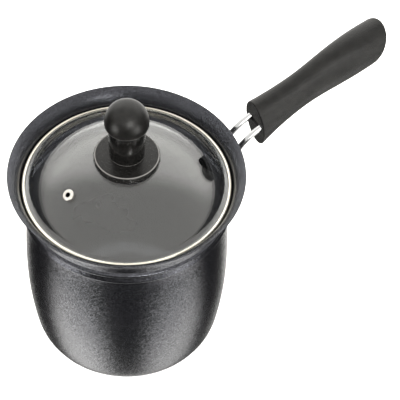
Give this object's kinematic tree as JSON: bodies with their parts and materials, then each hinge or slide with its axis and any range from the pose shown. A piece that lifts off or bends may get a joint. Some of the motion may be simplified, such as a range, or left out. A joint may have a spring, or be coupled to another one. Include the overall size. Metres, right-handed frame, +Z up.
{
  "type": "saucepan with glass lid",
  "caption": "Tall round saucepan with a flared boil-over brim, one long handle on two rods and a domed glass lid with a knob.",
  "frame": {"origin": "centre of the underside of the base, on the surface the pan stands on", "axes": "+Z up the axis of the pan and the lid, +X from the axis towards the handle, +Y completes the right-handed frame"},
  "size_m": [0.3265, 0.1875, 0.2637],
  "materials": {
    "pan_coating": "satin metallic bake-on coating over steel sheet",
    "stainless": "bright rolled stainless steel",
    "chromed_rod": "bright chrome plating",
    "grip_phenolic": "fine matte moulded phenolic resin",
    "knob_phenolic": "fine matte moulded phenolic resin",
    "tempered_glass": "clear polished",
    "silicone": "matte translucent silicone",
    "brass": "turned",
    "zinc_steel": "zinc plated"
  },
  "bodies": {
    "pan": {"pan_body": "pan_coating", "handle_saddle": "stainless", "handle_rod": "chromed_rod", "handle_grip": "grip_phenolic", "grip_bush": "zinc_steel", "grip_insert": "brass", "grip_lock_washer": "zinc_steel", "grip_screw": "zinc_steel"},
    "lid": {"lid_glass": "tempered_glass", "lid_band": "stainless", "vent_eyelet": "stainless", "knob_base": "knob_phenolic", "knob": "knob_phenolic", "knob_insert": "brass", "knob_gasket_top": "silicone", "knob_gasket_low": "silicone", "knob_washer": "stainless", "knob_screw": "zinc_steel"}
  },
  "joints": [
    {"name": "lid_lift", "type": "slide", "parent": "pan", "child": "lid", "axis": [0, 0, 1], "range_m": [0, 0.09]}
  ]
}
